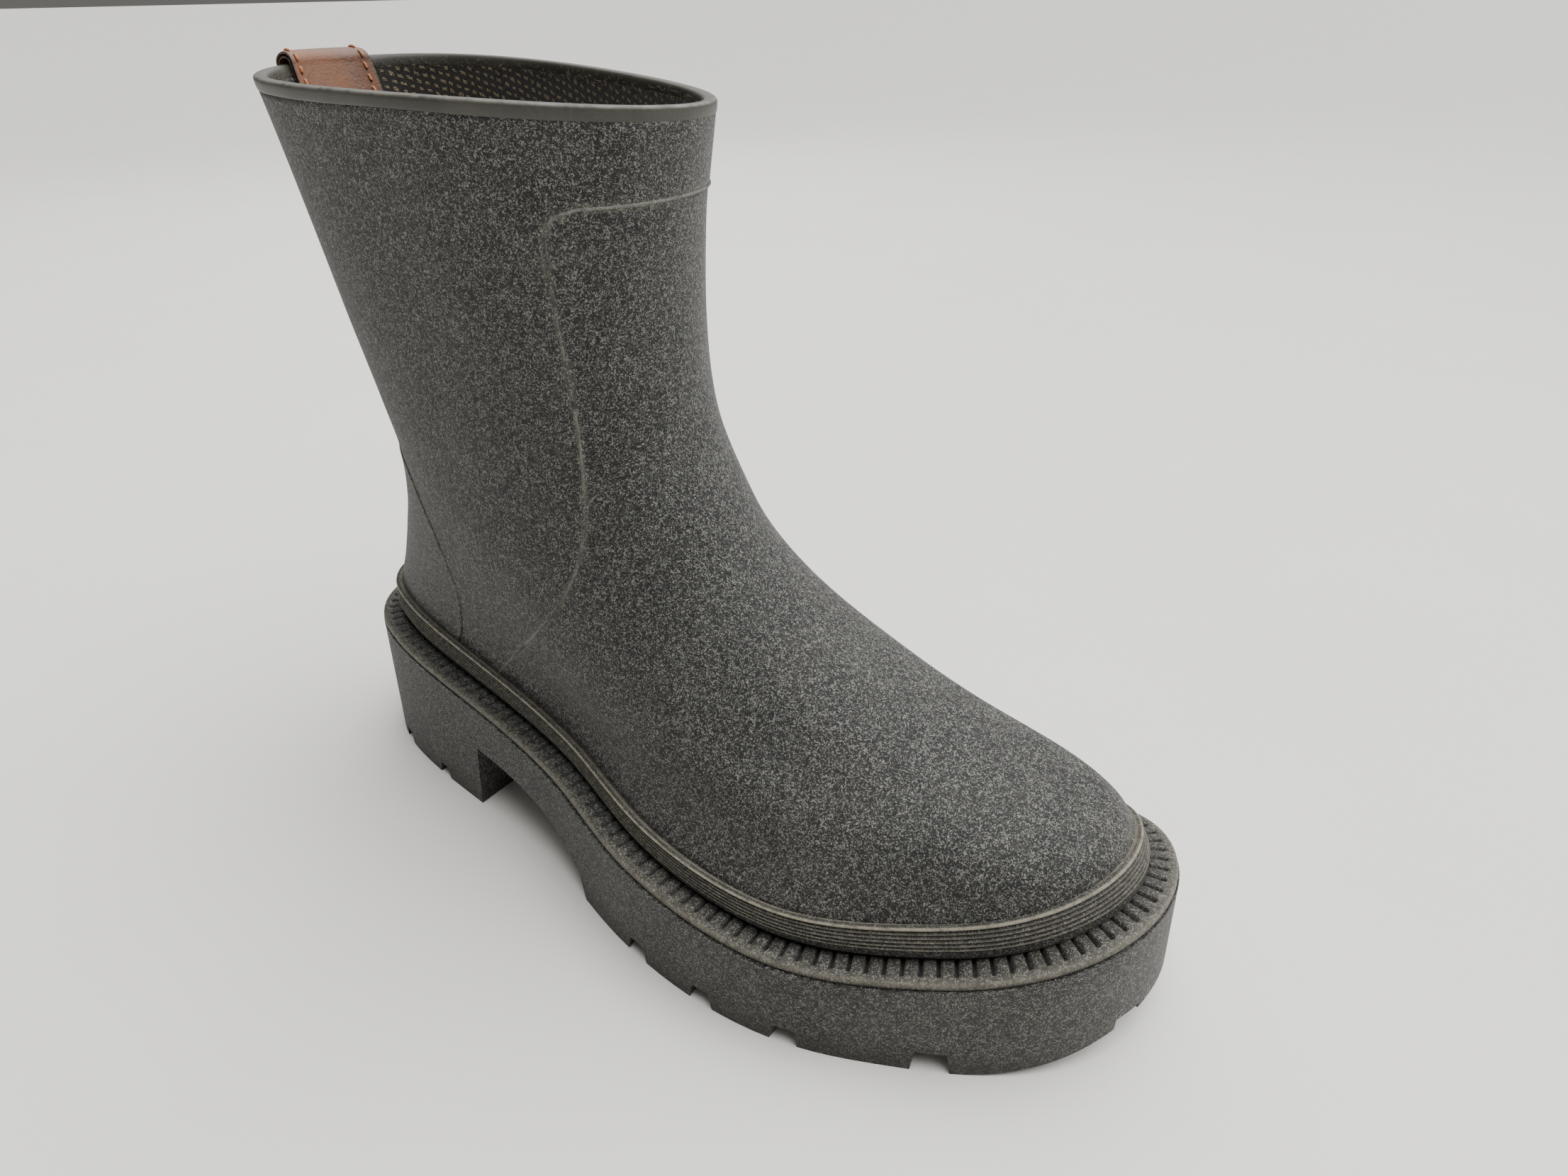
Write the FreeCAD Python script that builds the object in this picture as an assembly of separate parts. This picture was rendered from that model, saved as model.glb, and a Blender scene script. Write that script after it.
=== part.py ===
import FreeCAD, Part
import math
import os

# Right ankle-height rubber deck boot.  Millimetres, +Z up, +X towards the toe, +Y towards the
# inner (big toe) side.  While it is drawn, X = 0 is the back of the heel and Z = 0 the ground.
# The finished pieces are then moved so that the origin is under the middle of the whole boot.

V = FreeCAD.Vector

# ---------------------------------------------------------------- driving dimensions
soleLength = 300.0
toeDrift = 6.4             # how far the toe tip turns towards the inner side
upperInset = 10.5          # outer face of the upper, inside the edge of the ledge
foxingInset = 8.0          # outer face of the foxing at its foot
foxingToeLean = 0.38       # inward slope of the foxing at the toe
foxingTallest = 14.0
foxingLevels = (22, 44, 56, 72)
beyond = 40.0              # how far cutting shapes reach past the heel and the toe
heelRun = 0.08             # rise of the ledge line carried on past the heel
toeRun = 0.27              # rise of the ledge line carried on past the toe
weltHeight = 2.5
weltInset = 0.4

rubberThick = 2.0
liningThick = 1.8
stiffenerThick = 1.0
counterProud = 0.8

rimBack = 235.0            # height of the mouth at the back
rimSlope = -0.049          # fall of the mouth towards the front
rimStart = -1.3            # X of the back of the mouth
bandHeight = 5.0           # smooth band round the mouth
bandCap = 1.4              # solid part of the band over the lining
fit = 0.3                  # play round loose pieces

heelBreast = 75.5
treadStart = 139.0
toeSpringStart = 262.0
lugDepth = 5.5
lugWidth = 6.0

hingeX = 165.0             # where the footbed flexes
footbedThick = 5.0
footbedGap = 2.6           # play between the footbed and the lining
footbedTuck = 4.5          # the rear half is this much shorter, so that it clears the heel
coverThick = 0.8
boardThick = 2.0
sockThick = 0.8
fillerThick = 4.0
fillerInset = 16.0         # filler and heel core, inside the edge of the ledge
sideFlare = 1.4            # how much wider the side wall is at the ground
shankSize = (95.0, 14.0, 1.5)
shankStart = 62.0
coreFront = 57.0
coreFloor = 8.0

loopWidth = 28.0
loopCentre = 5.5           # Y of the middle of the loop
loopPly = 1.15
loopThread = 0.7
stitchInset = 2.6          # stitch rows, inside the edges of the loop
loopDrop = 27.0            # how far each leg of the loop hangs below the mouth

ringPoints = 36
wide = 90.0                # more than half the width of the boot

# Half-width factors of the sole outline against the position along it, 0 heel and 1 toe
outerSide = [(0, 68), (0.1, 54), (0.25, 46.5), (0.4, 48.6), (0.55, 61), (0.7, 69), (0.85, 71), (1, 84)]
innerSide = [(0, 68), (0.1, 53), (0.25, 42), (0.4, 40.2), (0.55, 42.7), (0.7, 50), (0.85, 57), (1, 80)]

# Height of the ledge along X, and height of the foxing above it
ledgeHeight = [(0, 52), (36, 49.2), (75, 45.5), (114, 41), (150, 35.5), (186, 31), (225, 29.2),
               (264, 33), (300, 42)]
foxingHeight = [(0, 13), (100, 9.5), (190, 8.5), (240, 10), (300, 12)]

# Back and front edges of the upper, seen from the side, against height
upperBack = [(20, 10.5), (52, 10.3), (60, 10), (67.5, 11.5), (75, 15), (90, 21.3), (105, 26.5),
             (120, 28.4), (140, 24.7), (165, 18.4), (195, 11.6), (235, -1.3), (245, -5)]
upperFront = [(20, 289.5), (42, 289), (50, 287.5), (55, 284), (60, 274.3), (67.5, 248), (75, 227.5),
              (90, 194.6), (105, 172.6), (120, 160.3), (140, 148.5), (165, 143.6), (195, 144.1),
              (228, 149.8), (245, 152)]

# The upper blends from a foot shape (0) to a leg shape (1) as it rises
legShare = [(20, 0), (45, 0), (60, 0.12), (75, 0.4), (90, 0.68), (105, 0.88), (120, 1), (245, 1)]
legHalfWidth = [(20, 38), (75, 38), (105, 36.8), (120, 36.2), (140, 37), (165, 39.1), (195, 41.6),
                (235, 46.2), (245, 47.2)]
legFullness = [(20, 0.1), (105, 0.14), (140, 0.2), (165, 0.23), (195, 0.25), (235, 0.14), (245, 0.12)]
legCentre = [(20, 0), (75, 0), (90, 0.5), (105, 1.5), (120, 2.5), (140, 3.5), (165, 4.3), (195, 4.7),
             (245, 4.7)]

# Narrowing of the foot shape against the height above the ledge, outer and inner side
outerLean = [(0, 1), (8, 1), (15, 0.935), (30, 0.855), (45, 0.79), (60, 0.74), (90, 0.7)]
innerLean = [(0, 1), (8, 1), (15, 0.95), (30, 0.91), (45, 0.89), (60, 0.88), (90, 0.88)]

ringLevels = [24, 34, 42, 48, 52, 56, 60, 64, 69, 75, 82, 90, 99, 110, 123, 140, 162, 188, 214, 242]
mouthLevels = [196, 207, 218, 229, 241]


# ---------------------------------------------------------------- shape formulas
def smooth(table, at):
    """Height of the smooth curve through a table of (position, value) pairs."""
    at = min(max(at, table[0][0]), table[-1][0])
    k = 0
    while at > table[k + 1][0]:
        k += 1

    def slope(i):
        low, high = max(i - 1, 0), min(i + 1, len(table) - 1)
        return (table[high][1] - table[low][1]) / (table[high][0] - table[low][0])

    span = table[k + 1][0] - table[k][0]
    t = (at - table[k][0]) / span
    return ((2 * t**3 - 3 * t**2 + 1) * table[k][1] + (t**3 - 2 * t**2 + t) * span * slope(k)
            + (3 * t**2 - 2 * t**3) * table[k + 1][1] + (t**3 - t**2) * span * slope(k + 1))


def ledge(x):
    return smooth(ledgeHeight, x)


def outline(angle, inset=0.0):
    """Point on the sole outline; angle 0 is the toe and 90 degrees the inner side."""
    def on(a):
        s = (1 + math.cos(a)) / 2
        t = min(max((s - 0.75) / 0.25, 0), 1)
        width = smooth(outerSide if math.sin(a) < 0 else innerSide, s)
        return V(soleLength * s, width * math.sin(a) + toeDrift * t * t * (3 - 2 * t), 0)

    along = on(angle + 0.001) - on(angle - 0.001)
    along.normalize()
    return on(angle) - V(along.y, -along.x, 0) * inset


def upperPoint(angle, z):
    """Point on the outer face of the upper at one height."""
    foot = outline(angle, upperInset)
    share = smooth(legShare, z)
    back = smooth(upperBack, z)
    depth = smooth(upperFront, z) - back
    lean = smooth(outerLean if math.sin(angle) < 0 else innerLean, max(z - ledge(foot.x), 0))
    footX = (foot.x - upperInset) / (soleLength - 2 * upperInset)
    legX = (1 + math.cos(angle)) / 2
    full = 1 + smooth(legFullness, z) * math.cos(angle)**2
    legY = smooth(legHalfWidth, z) * math.sin(angle) * full
    return V(back + depth * ((1 - share) * footX + share * legX),
             (1 - share) * foot.y * lean + share * legY + smooth(legCentre, z), z)


def wallPoint(angle, z, depth):
    """Point that lies depth inside the outer face, measured square to it, at height z."""
    def normal(height):
        round_ = upperPoint(angle + 0.01, height) - upperPoint(angle - 0.01, height)
        up = upperPoint(angle, height + 0.5) - upperPoint(angle, height - 0.5)
        square = round_.cross(up)
        square.normalize()
        return square

    height = z
    for _ in range(12):
        height = 0.5 * height + 0.5 * (z + depth * normal(height).z)
    found = upperPoint(angle, height) - normal(height) * depth
    return V(found.x, found.y, z)


# ---------------------------------------------------------------- building blocks
def ringWire(points):
    curve = Part.BSplineCurve()
    steps = [k / len(points) for k in range(len(points) + 1)]
    curve.interpolate(Points=points, PeriodicFlag=True, Parameters=steps)
    return Part.Wire([curve.toShape()])


def angles(count=ringPoints):
    return [math.pi + 2 * math.pi * k / count for k in range(count)]


def upperSolid(depth, levels=ringLevels):
    """Solid inside the upper's outer face, moved inwards by depth."""
    rings = [ringWire([wallPoint(a, z, depth) for a in angles()]) for z in levels]
    return Part.makeLoft(rings, True, False, False, 2)


def soleSolid(bottom, top, bottomInset, topInset=None):
    """Solid of the sole outline between two heights."""
    topInset = bottomInset if topInset is None else topInset
    rings = []
    for z, inset in ((bottom, bottomInset), (top, topInset)):
        rings.append(ringWire([outline(a, inset) + V(0, 0, z) for a in angles()]))
    return Part.makeLoft(rings, True, True)


def foxingSolid():
    """Solid inside the foxing's outer face, which leans in towards the toe."""
    def inset(angle, z):
        foot = outline(angle, foxingInset)
        share = foot.x / soleLength
        return foxingInset + foxingToeLean * share**2 * min(z - ledge(foot.x), foxingTallest)

    rings = []
    for z in foxingLevels:
        rings.append(ringWire([outline(a, inset(a, z)) + V(0, 0, z) for a in angles()]))
    return Part.makeLoft(rings, True, True)


def sideSlab(edges, low=-wide, high=wide):
    """Face drawn in the side view, drawn out across the boot."""
    face = Part.Face(Part.Wire(Part.__sortEdges__(edges)))
    face.translate(V(0, low, 0))
    return face.extrude(V(0, high - low, 0))


def sideCurve(points):
    curve = Part.BSplineCurve()
    curve.interpolate([V(x, 0, z) for x, z in points])
    return curve.toShape()


def sideLines(points):
    corners = [V(x, 0, z) for x, z in points]
    return [Part.makeLine(a, b) for a, b in zip(corners, corners[1:])]


def ledgeCurve(lift):
    """Side view of the ledge moved up by lift, carried on straight past the heel and the toe."""
    first, last = ledgeHeight[0], ledgeHeight[-1]
    points = [(-beyond, first[1] + heelRun * beyond)] + ledgeHeight
    points = points + [(last[0] + beyond, last[1] + toeRun * beyond)]
    return [(x, z + lift) for x, z in points]


def underLedge(lift, floor=-20.0):
    """Everything below the ledge curve moved up by lift."""
    top = ledgeCurve(lift)
    return sideSlab([sideCurve(top)] + sideLines([top[-1], (top[-1][0], floor), (top[0][0], floor), top[0]]))


def layer(low, high):
    """Curved layer between two lifts of the ledge curve."""
    top, bottom = ledgeCurve(high), ledgeCurve(low)
    ends = sideLines([top[0], bottom[0]]) + sideLines([top[-1], bottom[-1]])
    return sideSlab([sideCurve(top), sideCurve(bottom)] + ends)


def belowMouth(drop):
    """Everything under the plane of the mouth, lowered by drop."""
    front = 170.0
    top = [(-60.0, rimBack - drop + rimSlope * (-60.0 - rimStart)),
           (front, rimBack - drop + rimSlope * (front - rimStart))]
    return sideSlab(sideLines([top[0], top[1], (320.0, top[1][1]), (320.0, 0.0), (-60.0, 0.0), top[0]]))


def box(x0, x1, y0, y1, z0, z1):
    return Part.makeBox(x1 - x0, y1 - y0, z1 - z0, V(x0, y0, z0))


# ---------------------------------------------------------------- sole
def treadCutter():
    """Everything below the underside: heel block, arch, tread and toe spring."""
    arch = sideCurve([(78.0, 25.5), (96.0, 24.0), (114.0, 20.2), (126.0, 15.0), (136.0, 9.0)])
    spring = sideCurve([(toeSpringStart, 0.0), (282.0, 3.0), (295.0, 8.0), (306.0, 15.0)])
    outlineEdges = sideLines([(heelBreast, 0.0), (78.0, 25.5)]) + [arch]
    outlineEdges += sideLines([(136.0, 9.0), (treadStart, 0.0), (toeSpringStart, 0.0)]) + [spring]
    outlineEdges += sideLines([(306.0, 15.0), (306.0, -15.0), (heelBreast, -15.0), (heelBreast, 0.0)])
    return sideSlab(outlineEdges)


def groove(x, y, width, depth, turn, length=2 * wide):
    """Tapered channel across the tread, wider at the ground, turned about its middle."""
    bottom, top = width + 2.5, width
    corners = [V(-bottom / 2, 0, -1), V(bottom / 2, 0, -1), V(top / 2, 0, depth), V(-top / 2, 0, depth)]
    face = Part.Face(Part.makePolygon(corners + [corners[0]]))
    face.translate(V(0, -length / 2, 0))
    bar = face.extrude(V(0, length, 0))
    bar.rotate(V(0, 0, 0), V(0, 0, 1), turn)
    bar.translate(V(x, y, 0))
    return bar


def treadGrooves():
    grooves = [groove(23.5, 0, 4.5, 4.5, 0), groove(52.0, 0, 4.5, 4.5, 0)]
    for x, turn in ((161.0, 6), (190.5, 3), (223.0, -2)):
        grooves.append(groove(x, 0, lugWidth, lugDepth, turn))
    grooves.append(groove(259.0, -49.0, 8.5, lugDepth + 1.5, 33, 60.0))
    grooves.append(groove(262.0, 46.0, 8.5, lugDepth + 1.5, -33, 60.0))
    grooves.append(groove(296.0, -10.0, 9.0, lugDepth + 6.5, 72, 44.0))
    grooves.append(groove(296.0, 22.0, 9.0, lugDepth + 6.5, -64, 44.0))
    grooves.append(box(30.0, heelBreast + 2, -4, 4, -1, 4.5))
    grooves.append(box(treadStart - 2, 266.0, -12, -4, -1, lugDepth))
    return grooves


def makeOutsole(pockets):
    sole = soleSolid(-1.0, 60.0, -sideFlare, weltInset).common(underLedge(-weltHeight))
    sole = sole.common(box(-20, 330, -wide, wide, 0, 80)).cut(treadCutter())
    for piece in treadGrooves() + pockets:
        sole = sole.cut(piece)
    return sole


def makeShank():
    length, width, thick = shankSize
    low = -weltHeight - fillerThick - thick
    return layer(low, low + thick).common(box(shankStart, shankStart + length, -width / 2 - 2,
                                              width / 2 - 2, 0, 80))


def makeFiller():
    return soleSolid(0, 80, fillerInset).common(layer(-weltHeight - fillerThick, -weltHeight))


def makeHeelCore():
    core = soleSolid(coreFloor, 80, fillerInset).common(underLedge(-weltHeight - fillerThick))
    return core.common(box(-10, coreFront, -wide, wide, coreFloor, 80))


# ---------------------------------------------------------------- upper
def instepRegion():
    """Side view of the front panel, which runs up the shin and over the whole forefoot."""
    edge = sideCurve([(74.0, 38.0), (86.0, 56.0), (99.0, 69.0), (114.0, 83.5), (124.0, 95.0), (129.8, 107.0),
                      (131.3, 120.0), (130.0, 140.0), (127.8, 165.0), (127.0, 185.0), (127.5, 198.0)])
    corner = Part.Arc(V(127.5, 0, 198.0), V(129.8, 0, 203.2), V(135.0, 0, 205.5)).toShape()
    rest = sideLines([(135.0, 205.5), (320.0, 205.5), (320.0, 10.0), (74.0, 10.0), (74.0, 38.0)])
    return sideSlab([edge, corner] + rest)


def counterRegion():
    """Side view of the heel counter."""
    edge = sideCurve([(8.0, 132.5), (30.0, 127.0), (49.0, 119.0), (59.0, 107.0), (66.5, 92.0),
                      (68.5, 78.0), (65.0, 64.0), (58.0, 48.0), (50.0, 30.0)])
    return sideSlab([edge] + sideLines([(50.0, 30.0), (-30.0, 30.0), (-30.0, 132.5), (8.0, 132.5)]))


def region(x0, x1, z0, z1):
    return box(x0, x1, -wide, wide, z0, z1)


# ---------------------------------------------------------------- pull loop
def loopArch(outer, inner, rise, outerHole, innerHole, holeRise):
    """One ply of the strap folded over the mouth at the back."""
    whole = outer.cut(inner).common(belowMouth(-rise)).cut(belowMouth(loopDrop))
    hollow = outerHole.cut(innerHole).common(belowMouth(-holeRise))
    y0, y1 = loopCentre - loopWidth / 2, loopCentre + loopWidth / 2
    return whole.cut(hollow).common(box(-60, 45, y0, y1, 180, 260))


def stitchRow(depth, y, z0, z1, count, size):
    """Short threads lying on one leg of the loop, one above the other."""
    threads = []
    pitch = (z1 - z0) / count
    for k in range(count):
        z = z0 + pitch * (k + 0.5)
        start = legPoint(y, z - 0.32 * pitch, depth)
        end = legPoint(y, z + 0.32 * pitch, depth)
        axis = end - start
        threads.append(Part.makeCylinder(size / 2, axis.Length, start, axis))
    return threads


def stitchLine(depth, z, y0, y1, count, size):
    """Short threads lying across one leg of the loop."""
    threads = []
    pitch = (y1 - y0) / count
    for k in range(count):
        y = y0 + pitch * (k + 0.5)
        start = legPoint(y - 0.32 * pitch, z, depth)
        end = legPoint(y + 0.32 * pitch, z, depth)
        axis = end - start
        threads.append(Part.makeCylinder(size / 2, axis.Length, start, axis))
    return threads


def legPoint(y, z, depth):
    """Point at the back of the boot with a given Y, depth inside the outer face."""
    low, high = math.radians(130), math.radians(230)
    for _ in range(30):
        middle = (low + high) / 2
        if wallPoint(middle, z, depth).y > y:
            low = middle
        else:
            high = middle
    return wallPoint(middle, z, depth)


# ---------------------------------------------------------------- assembly
def build():
    wallThick = rubberThick + liningThick
    skin = upperSolid(0.0)
    inRubber = upperSolid(rubberThick)
    inStiffener = upperSolid(rubberThick + stiffenerThick)
    inLining = upperSolid(wallThick)
    inFootbed = upperSolid(wallThick + footbedGap)
    soleTop = underLedge(-weltHeight)

    parts = {}

    filler = makeFiller()
    shank = makeShank()
    core = makeHeelCore()
    parts["outsole"] = makeOutsole([filler, shank, core])
    parts["midsole_filler"] = filler
    parts["shank"] = shank
    parts["heel_core"] = core

    # Upper wall, from the top of the outsole to the smooth band at the mouth
    shell = skin.cut(inRubber).cut(soleTop)
    counterShape = upperSolid(-counterProud, [30, 40, 50, 60, 68, 76, 86, 98, 112, 126, 140])
    disc = skin.common(belowMouth(0)).cut(belowMouth(bandHeight))
    wall = shell.common(belowMouth(bandHeight))
    parts["top_band"] = disc.cut(inRubber.common(belowMouth(bandCap))).cut(inLining)
    parts["instep_panel"] = wall.common(instepRegion())
    parts["leg_panel"] = wall.cut(instepRegion())
    parts["heel_counter"] = counterShape.cut(skin).common(counterRegion()).cut(soleTop)

    # Foxing and serrated welt round the foot of the upper
    foxingTop = foxingSlab()
    parts["serrated_welt"] = soleSolid(0, 80, weltInset).common(layer(-weltHeight, 0.0)).cut(skin)
    parts["serrated_welt"] = parts["serrated_welt"].cut(parts["heel_counter"])
    parts["foxing_band"] = foxingSolid().common(foxingTop).cut(skin).cut(parts["heel_counter"])

    # Inside of the boot
    boardLow = -weltHeight
    boardHigh = boardLow + boardThick
    sockHigh = boardHigh + sockThick
    parts["insole_board"] = inRubber.common(layer(boardLow, boardHigh))
    puffRegion = region(222, 300, 20, 90).cut(underLedge(sockHigh))
    heelRegion = region(-20, 62, 20, 104).cut(underLedge(sockHigh))
    stiffening = inRubber.cut(inStiffener)
    parts["toe_puff"] = stiffening.common(puffRegion)
    parts["counter_stiffener"] = stiffening.common(heelRegion)
    lining = inRubber.cut(underLedge(boardHigh)).common(belowMouth(bandCap))
    lining = lining.cut(inLining.cut(underLedge(sockHigh)))
    parts["lining"] = lining.cut(parts["toe_puff"]).cut(parts["counter_stiffener"])

    # Footbed in two halves that flex at the ball, each with its cloth cover
    footbedLow = sockHigh + fit
    footbedHigh = footbedLow + footbedThick
    coverHigh = footbedHigh + coverThick
    seat = inFootbed.copy()
    seat.translate(V(footbedTuck, 0, 0))
    rearSeat = inFootbed.common(seat)
    for name, low, high in (("footbed", footbedLow, footbedHigh),
                            ("footbed_cover", footbedHigh, coverHigh)):
        parts[name + "_front"] = inFootbed.common(layer(low, high)).common(region(hingeX, 340, 0, 99))
        parts[name + "_rear"] = rearSeat.common(layer(low, high)).common(region(-20, hingeX - fit, 0, 99))

    # Leather pull loop: an inner and an outer ply, folded over the mouth at the back
    skins = {depth: upperSolid(depth, mouthLevels)
             for depth in (-2 * loopPly, -loopPly, 0.0, wallThick, wallThick + loopPly,
                           wallThick + 2 * loopPly)}
    parts["pull_loop_backing"] = loopArch(skins[-loopPly], skins[wallThick + loopPly], loopPly,
                                          skins[0.0], skins[wallThick], 0.0)
    parts["pull_loop"] = loopArch(skins[-2 * loopPly], skins[wallThick + 2 * loopPly], 2 * loopPly,
                                  skins[-loopPly], skins[wallThick + loopPly], loopPly)
    faceOut = -2 * loopPly - loopThread / 2
    faceIn = wallThick + 2 * loopPly + loopThread / 2
    for name in ("top_band", "leg_panel", "lining"):
        parts["pull_loop_backing"] = parts["pull_loop_backing"].cut(parts[name])
    parts["pull_loop"] = parts["pull_loop"].cut(parts["top_band"]).cut(parts["pull_loop_backing"])
    edgeStitches = []
    anchorStitches = []
    for depth in (faceOut, faceIn):
        for side in (-1, 1):
            y = loopCentre + side * (loopWidth / 2 - stitchInset)
            edgeStitches += stitchRow(depth, y, rimBack - loopDrop + 5, rimBack - 3, 6, loopThread)
        anchorStitches += stitchLine(depth, rimBack - loopDrop + 3, loopCentre - 10, loopCentre + 10, 6,
                                     loopThread)
    parts["loop_edge_stitching"] = Part.makeCompound(edgeStitches)
    parts["loop_anchor_stitching"] = Part.makeCompound(anchorStitches)
    return parts


def foxingSlab():
    """Space above the ledge that the foxing band fills."""
    stations = [-10.0, 50.0, 100.0, 150.0, 190.0, 240.0, 275.0, 310.0]

    def top(x):
        inside = min(max(x, 0.0), soleLength)
        drift = -heelRun * min(x, 0) + toeRun * max(x - soleLength, 0)
        return ledge(inside) + drift + smooth(foxingHeight, inside)

    points = [(x, top(x)) for x in stations]
    edges = [sideCurve(points)] + sideLines([points[-1], (310.0, 0.0), (-10.0, 0.0), points[0]])
    return sideSlab(edges).cut(underLedge(0.0))


def writeParts(parts):
    os.makedirs("parts", exist_ok=True)
    whole = Part.makeCompound(list(parts.values()))
    bounds = whole.optimalBoundingBox(True, False)
    shift = V(-(bounds.XMin + bounds.XMax) / 2, -(bounds.YMin + bounds.YMax) / 2, -bounds.ZMin)
    print("box", [round(v, 2) for v in (bounds.XLength, bounds.YLength, bounds.ZLength)],
          "shift", [round(v, 3) for v in shift])
    for name, shape in parts.items():
        solids = [solid.reversed() if solid.Volume < 0 else solid for solid in shape.Solids]
        shape = solids[0] if len(solids) == 1 else Part.makeCompound(solids)
        print(f"{name:24s} solids {len(solids):3d}  volume {shape.Volume:10.1f}  valid {shape.isValid()}")
        shape.translate(shift)
        shape.exportStep("parts/" + name + ".step")


writeParts(build())
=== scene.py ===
import bpy
import bmesh
import numpy as np
from mathutils import Matrix, Vector


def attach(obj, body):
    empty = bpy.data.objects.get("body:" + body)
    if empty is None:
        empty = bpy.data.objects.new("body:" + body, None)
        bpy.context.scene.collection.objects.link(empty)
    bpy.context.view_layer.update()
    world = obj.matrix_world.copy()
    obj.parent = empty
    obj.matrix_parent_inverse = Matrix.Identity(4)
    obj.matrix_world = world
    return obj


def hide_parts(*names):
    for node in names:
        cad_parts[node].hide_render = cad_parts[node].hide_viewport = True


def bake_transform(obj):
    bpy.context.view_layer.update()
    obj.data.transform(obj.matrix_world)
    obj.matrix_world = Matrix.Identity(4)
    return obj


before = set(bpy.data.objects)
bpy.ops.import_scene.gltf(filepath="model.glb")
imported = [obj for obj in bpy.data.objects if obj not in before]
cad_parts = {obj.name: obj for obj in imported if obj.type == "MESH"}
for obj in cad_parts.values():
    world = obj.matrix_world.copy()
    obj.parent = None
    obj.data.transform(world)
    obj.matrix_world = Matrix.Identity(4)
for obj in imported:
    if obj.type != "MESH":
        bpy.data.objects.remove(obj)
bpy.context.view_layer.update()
random = np.random.default_rng(11)
turn = 2 * np.pi
print("frame loaded")

# Everything is worked out in millimetres in the maker's frame: X = 0 at the back of the heel,
# +X to the toe, +Y to the inner side, Z = 0 on the floor. boot["origin"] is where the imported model
# has its origin in that frame.
boot = {
    "origin": (148.178, -7.35, 0.0),
    "length": 300.0, "toeDrift": 6.4, "upperInset": 10.5,
    "rubber": 2.0, "wall": 3.8,
    "rimBack": 235.0, "rimSlope": -0.049, "rimStart": -1.3, "bandHeight": 5.0,
    "rimSides": 0.9, "rimWave": 1.1, "mouthLength": 150.0,
    "outer": [(0, 68), (0.1, 54), (0.25, 46.5), (0.4, 48.6), (0.55, 61), (0.7, 69), (0.85, 71), (1, 84)],
    "inner": [(0, 68), (0.1, 53), (0.25, 42), (0.4, 40.2), (0.55, 42.7), (0.7, 50), (0.85, 57), (1, 80)],
    "ledge": [(0, 52), (36, 49.2), (75, 45.5), (114, 41), (150, 35.5), (186, 31), (225, 29.2), (264, 33),
              (300, 42)],
    "back": [(20, 10.5), (52, 10.3), (60, 10), (67.5, 11.5), (75, 15), (90, 21.3), (105, 26.5), (120, 28.4),
             (140, 24.7), (165, 18.4), (195, 11.6), (235, -1.3), (245, -5)],
    "front": [(20, 289.5), (42, 289), (50, 287.5), (55, 284), (60, 274.3), (67.5, 248), (75, 227.5),
              (90, 194.6), (105, 172.6), (120, 160.3), (140, 148.5), (165, 143.6), (195, 144.1),
              (228, 149.8), (245, 152)],
    "legShare": [(20, 0), (45, 0), (60, 0.12), (75, 0.4), (90, 0.68), (105, 0.88), (120, 1), (245, 1)],
    "halfWidth": [(20, 38), (75, 38), (105, 36.8), (120, 36.2), (140, 37), (165, 39.1), (195, 41.6),
                  (235, 46.2), (245, 47.2)],
    "fullness": [(20, 0.1), (105, 0.14), (140, 0.2), (165, 0.23), (195, 0.25), (235, 0.14), (245, 0.12)],
    "centre": [(20, 0), (75, 0), (90, 0.5), (105, 1.5), (120, 2.5), (140, 3.5), (165, 4.3), (195, 4.7),
               (245, 4.7)],
    "outerLean": [(0, 1), (8, 1), (15, 0.935), (30, 0.855), (45, 0.79), (60, 0.74), (90, 0.7)],
    "innerLean": [(0, 1), (8, 1), (15, 0.95), (30, 0.91), (45, 0.89), (60, 0.88), (90, 0.88)],
}


# Hermite curve through a table of (place, value). The slope at a point is that of its neighbours'
# chord, and past either end the value stays level.
def smooth(table, at):
    xs, ys = np.array(table, float).T
    at = np.clip(at, xs[0], xs[-1])
    k = np.clip(np.searchsorted(xs, at) - 1, 0, len(xs) - 2)
    low = np.maximum(np.arange(len(xs)) - 1, 0)
    high = np.minimum(np.arange(len(xs)) + 1, len(xs) - 1)
    slope = (ys[high] - ys[low]) / (xs[high] - xs[low])
    span = xs[k + 1] - xs[k]
    t = (at - xs[k]) / span
    return ((2 * t**3 - 3 * t**2 + 1) * ys[k] + (t**3 - 2 * t**2 + t) * span * slope[k]
            + (3 * t**2 - 2 * t**3) * ys[k + 1] + (t**3 - t**2) * span * slope[k + 1])


# 0 before a, 1 after b, 3t^2 - 2t^3 between them
def ease(a, b, at):
    t = np.clip((at - a) / (b - a), 0, 1)
    return t * t * (3 - 2 * t)


def ledge(x):
    return smooth(boot["ledge"], x)


def unit(v):
    return v / np.linalg.norm(v, axis=-1, keepdims=True)


def signedPower(value, power):
    return np.sign(value) * np.abs(value)**power


# Sole outline: x = length (1 + cos a) / 2, y = width(x) sin a + drift, moved in by inset along its normal
def outline(angle, inset):
    def on(a):
        s = (1 + np.cos(a)) / 2
        width = np.where(np.sin(a) < 0, smooth(boot["outer"], s), smooth(boot["inner"], s))
        return np.stack([boot["length"] * s, width * np.sin(a) + boot["toeDrift"] * ease(0.75, 1, s)], -1)

    along = unit(on(angle + 0.001) - on(angle - 0.001))
    outward = np.stack([along[..., 1], -along[..., 0]], -1)
    return on(angle) - outward * np.asarray(inset, float)[..., None]


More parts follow.
